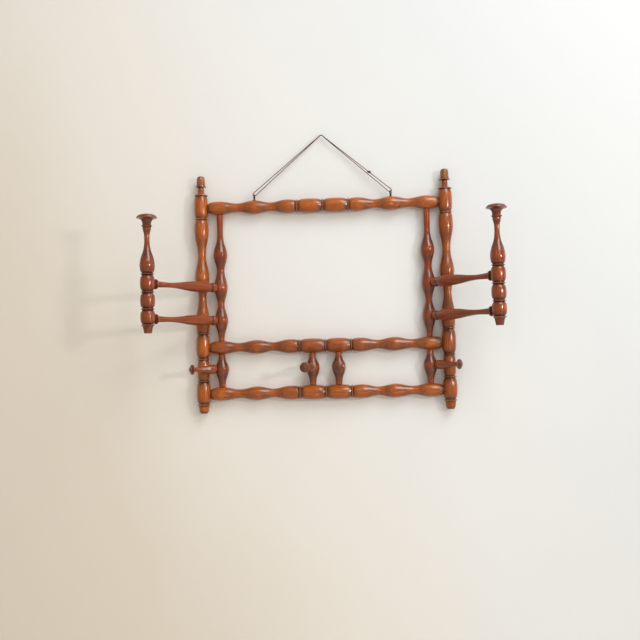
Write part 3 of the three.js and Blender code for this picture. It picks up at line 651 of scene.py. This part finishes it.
class Wood(Finish):
    """Stained wood whose patterns follow each piece's grain and whose dirt, painted shade and painted
    highlights follow its turning.
    """

    def __init__(self, name, pale, deep, dark):
        super().__init__(name)
        self.pale, self.deep, self.dark = (linear(*tone) for tone in (pale, deep, dark))
        self.grain = self.mark("grain_at", "Vector")
        self.fibres = self.pattern(across=14, along=0.7, detail=4, roughness=0.6)
        pores = self.pattern(across=34, along=2.4, detail=1, roughness=0.4)
        self.pores = self.spread(pores, 0.62, 0.72)
        self.smear = self.pattern(across=2.2, along=1.5, detail=4, roughness=0.6)
        self.groove = self.smeared("groove", smear=(0.25, 0.6), amount=(0.7, 1.0))
        self.worn = self.smeared("worn", smear=(0.3, 0.6), amount=(0.3, 0.7))

    def in_grain(self, scale, turn=(0, 0, 0), shift=(0, 0, 0)):
        """Place in the grain, in centimetres, scaled, turned and shifted."""
        return self.add("Mapping", self.grain, shift, turn, scale).outputs[0]

    def pattern(self, across, along, detail, roughness):
        """Noise with about so many features to a centimetre across and along the grain."""
        return self.noise(self.in_grain((across, across, along)), 1.0, detail, roughness)

    def smeared(self, mark, smear, amount):
        """A mark of the mesh, whose amount follows the smear from the low to the high end of both."""
        return self.times(self.mark(mark), self.spread(self.smear, *smear, *amount))

    def gathered(self, mark, power, amount):
        """A mark of the mesh, drawn together to where it is strongest."""
        return self.times(self.calculate("POWER", self.mark(mark), power), amount)

    def growth_rings(self):
        """Rings round a heart that lies a little off the piece's axis and wanders."""
        wander = self.pattern(across=0.5, along=0.12, detail=2, roughness=0.5)
        heart = self.in_grain((1, 1, 1), HEART_SLANT, HEART_SHIFT)
        painted_light_drift = self.add("CombineXYZ", self.times(wander, HEART_WANDER)).outputs[0]
        place = self.add("VectorMath", heart, painted_light_drift, operation="ADD").outputs[0]
        rings = self.add("TexWave", place, wave_type="RINGS", rings_direction="Z", wave_profile="SAW")
        self.tune(rings, Scale=0.9, Distortion=1.2, Detail=2.0, Detail_Scale=0.6)
        return rings.outputs["Fac"]

    def stained(self):
        """Rings and fibres between the pale and the deep tone, uneven stain and dark pores."""
        rings = self.times(self.growth_rings(), RINGS_SHOW)
        figure = self.calculate("ADD", rings, self.times(self.fibres, FIBRES_SHOW))
        tone = self.mix(self.spread(figure, 0.25, 0.85), self.pale, self.deep)
        stain = self.pattern(across=0.7, along=0.22, detail=3, roughness=0.55)
        tone = self.mix(self.spread(stain, 0.35, 0.7, 0.0, STAIN_SHOWS), tone, self.deep)
        return self.mix(self.times(self.pores, PORES_SHOW), tone, self.dark)

    def aged_and_painted_light(self, tone):
        """The tone with crests worn paler and given a painted highlight, worn tops, painted shade in hollows,
        painted contact shade and dirt at joints, and dirt in grooves.
        """
        # Painted shade in the hollows, darkest in the deepest ones.
        hollow = self.smeared("hollow", smear=(0.2, 0.8), amount=(0.1, 0.4))
        deepest_hollow_shade = self.gathered("hollow", power=4, amount=DEEP_HOLLOW_SHADE_SHOWS)
        # Painted contact shade, with dirt, where the piece meets other pieces.
        joint = self.gathered("joint", power=3, amount=JOINT_SHADE_AND_DIRT_SHOWS)
        # Paler crests: wear and a painted highlight.
        tone = self.mix(self.times(self.mark("crest"), CREST_WEAR_AND_HIGHLIGHT_SHOWS), tone, self.pale)
        tone = self.mix(self.worn, tone, linear(*WORN_TONE))
        tone = self.mix(self.calculate("MAXIMUM", hollow, deepest_hollow_shade, joint), tone, self.dark)
        return self.mix(self.times(self.groove, GROOVES_SHOW), tone, self.dark)


def varnished_wood(name, pale, deep, dark, rough, coat):
    """Old varnished wood: growth rings, fibres, pores, uneven stain, dirt in the grooves, painted shade in
    hollows and at joints, and a painted highlight on crests.
    """
    wood = Wood(name, pale, deep, dark)
    sheen = wood.spread(wood.smear, 0.3, 0.7, rough, rough + SMEAR_DULLS)
    dirt = wood.calculate("MAXIMUM", wood.groove, wood.worn)
    wood.tune(wood.shader, Base_Color=wood.aged_and_painted_light(wood.stained()),
              Roughness=wood.calculate("ADD", sheen, wood.times(dirt, DIRT_DULLS)),
              Specular_IOR_Level=0.12, Coat_Weight=1.0, Coat_Roughness=coat, Coat_IOR=1.55)
    patterns = ((wood.fibres, FIBRES_RISE), (wood.pores, PORES_RISE), (wood.smear, SMEAR_RISE))
    relief = wood.calculate("ADD", *(wood.times(pattern, rise) for pattern, rise in patterns))
    wood.bump(relief, distance=RELIEF_DEPTH, strength=0.35)
    return wood.material


def wrought_iron():
    """Dark wire, a little rusty."""
    iron = Finish("old_iron")
    rust = iron.noise(iron.place(), scale=700, detail=5, roughness=0.6)
    iron.tune(iron.shader, Base_Color=iron.ramp(rust, (0.3, (34, 30, 28)), (0.7, (66, 44, 32))),
              Metallic=0.7, Roughness=iron.spread(rust, 0.3, 0.7, 0.38, 0.65))
    iron.bump(rust, distance=0.15 * MM, strength=0.5)
    return iron.material


def twine():
    """Brown twisted twine with paler fibres and darker patches."""
    made = Finish("brown_twine")
    fibre = made.noise(made.place(), scale=1500, detail=4, roughness=0.7)
    patch = made.noise(made.place(), scale=60, detail=2)
    colour = made.ramp(fibre, (0.25, (56, 26, 18)), (0.75, (108, 56, 40)))
    colour = made.mix(made.spread(patch, 0.4, 0.7, 0.0, 0.5), colour, linear(76, 38, 28))
    made.tune(made.shader, Base_Color=colour, Roughness=0.95, Specular_IOR_Level=0.08)
    made.bump(fibre, distance=0.2 * MM, strength=0.8)
    return made.material


def plaster():
    """Pale, uneven plaster with painted light, warm at the lower left and cool toward the upper right, that
    is clear from behind, so that the rack's back can be seen.
    """
    wall = Finish("pale_wall")
    at = wall.add("SeparateXYZ", wall.place()).outputs
    uneven = wall.spread(wall.noise(wall.place(), scale=2.2, detail=3), 0.3, 0.7, -0.1, 0.1)
    # Painted light: the colour drifts from a warm, darker lower left to a cool upper right.
    painted_light_drift = wall.calculate("ADD", at["X"], wall.times(at["Z"], RISE_SHARE), uneven)
    colour = wall.ramp(wall.spread(painted_light_drift, TINTS_FROM, TINTS_TO), *WALL_PAINTED_LIGHT_TINTS)
    wall.tune(wall.shader, Base_Color=colour, Roughness=0.75)
    wall.bump(wall.noise(wall.place(), scale=160, detail=4), distance=0.4 * MM, strength=0.5)
    behind = wall.add("NewGeometry").outputs["Backfacing"]
    clear = wall.add("BsdfTransparent").outputs[0]
    shown = wall.add("MixShader", behind, wall.shader.outputs[0], clear)
    wall.tune(wall.tree.nodes["Material Output"], Surface=shown.outputs[0])
    return wall.material


def floor_paint():
    """Pale floor, faintly mottled."""
    floor = Finish("pale_floor")
    mottle = floor.noise(floor.place(), scale=3, detail=3)
    colour = floor.ramp(mottle, (0.3, (226, 222, 214)), (0.7, (234, 231, 225)))
    floor.tune(floor.shader, Base_Color=colour, Roughness=0.7)
    return floor.material


def stage_plane(name, low, high, material):
    """Rectangle between two opposite corners, with two sides along X, that belongs to the stage."""
    corners = [low, (high[0], *low[1:]), high, (low[0], *high[1:])]
    plane = mesh_object(name, corners, [(0, 1, 2, 3)])
    plane.data.materials.append(material)
    bpy.context.scene.collection.objects.link(plane)


def area_lamp(name, place, size, watts, colour=(1, 1, 1), mirrored_in_varnish=True):
    """Square lamp that faces the rack's middle from a place measured from there."""
    data = bpy.data.lights.new(name, "AREA")
    data.size = size
    data.energy = watts
    data.color = colour
    lamp = bpy.data.objects.new(name, data)
    lamp.location = RACK_MIDDLE + Vector(place)
    lamp.rotation_euler = (-Vector(place)).to_track_quat("-Z", "Y").to_euler()
    lamp.visible_glossy = mirrored_in_varnish
    bpy.context.scene.collection.objects.link(lamp)
    return lamp


def lights():
    """Window and small lamp from the right, soft fill from the front, lamps behind."""
    area_lamp("window", (1.3, -1.9, 2.1), size=1.8, watts=51, colour=(0.94, 0.985, 1.0))
    area_lamp("small_lamp", (1.95, -2.0, 0.2), size=0.25, watts=15, colour=(1.0, 0.97, 0.92))
    area_lamp("front_fill", (0.2, -3.2, 0.6), size=2.4, watts=16, mirrored_in_varnish=False)
    for name, x in (("behind_left", -1.6), ("behind_right", 1.6)):
        lamp = area_lamp(name, (x, 2.2, 0.8), size=1.4, watts=24, mirrored_in_varnish=False)
        lamp.light_linking.receiver_collection = rack_pieces
        lamp.light_linking.blocker_collection = rack_pieces


def pale_room():
    """Soft light from all round."""
    world = bpy.data.worlds.new("pale_room")
    world.use_nodes = True
    bpy.context.scene.world = world
    background = world.node_tree.nodes["Background"]
    background.inputs["Color"].default_value = ROOM_COLOUR
    background.inputs["Strength"].default_value = ROOM_STRENGTH


bpy.context.scene.view_settings.view_transform = "Standard"
look_at_rack()
stage_plane("wall", (-WALL_HALF, 0, FLOOR_Z), (WALL_HALF, 0, WALL_TOP), plaster())
stage_plane("floor", (-WALL_HALF, FLOOR_FRONT, FLOOR_Z), (WALL_HALF, 0, FLOOR_Z), floor_paint())
lights()
pale_room()

hang_string(twine())

honey, brown, red, peg_wood = (varnished_wood(name + "_varnish", **look) for name, look in VARNISHES.items())
for side, post_wood in (("left", honey), ("right", brown)):
    turned(side + "_post", "honey_wood", post_wood, Z_AXIS, worn_top=THIMBLE_H)
    turned(side + "_gate_spindle", "red_wood", red, Z_AXIS)
    turned(side + "_lower_arm", "red_wood", red)
    turned(side + "_upper_arm", "red_wood", red)
    turned(side + "_hat_post", "red_wood", red, Z_AXIS)
for level, rail_wood in (("top", honey), ("middle", brown), ("bottom", honey)):
    turned(level + "_rail", "honey_wood", rail_wood, X_AXIS)
for peg in ("left", "right", "centre_left", "centre_right"):
    turned(peg + "_peg_spindle", "red_wood", peg_wood if peg.startswith("centre") else red, Z_AXIS)
    turned(peg + "_peg", "red_wood", peg_wood, fullness=PEG_FULLNESS)

black_iron = wrought_iron()
screw_eye("left_screw_eye", EYE_TWIST, black_iron)
screw_eye("right_screw_eye", -EYE_TWIST, black_iron)
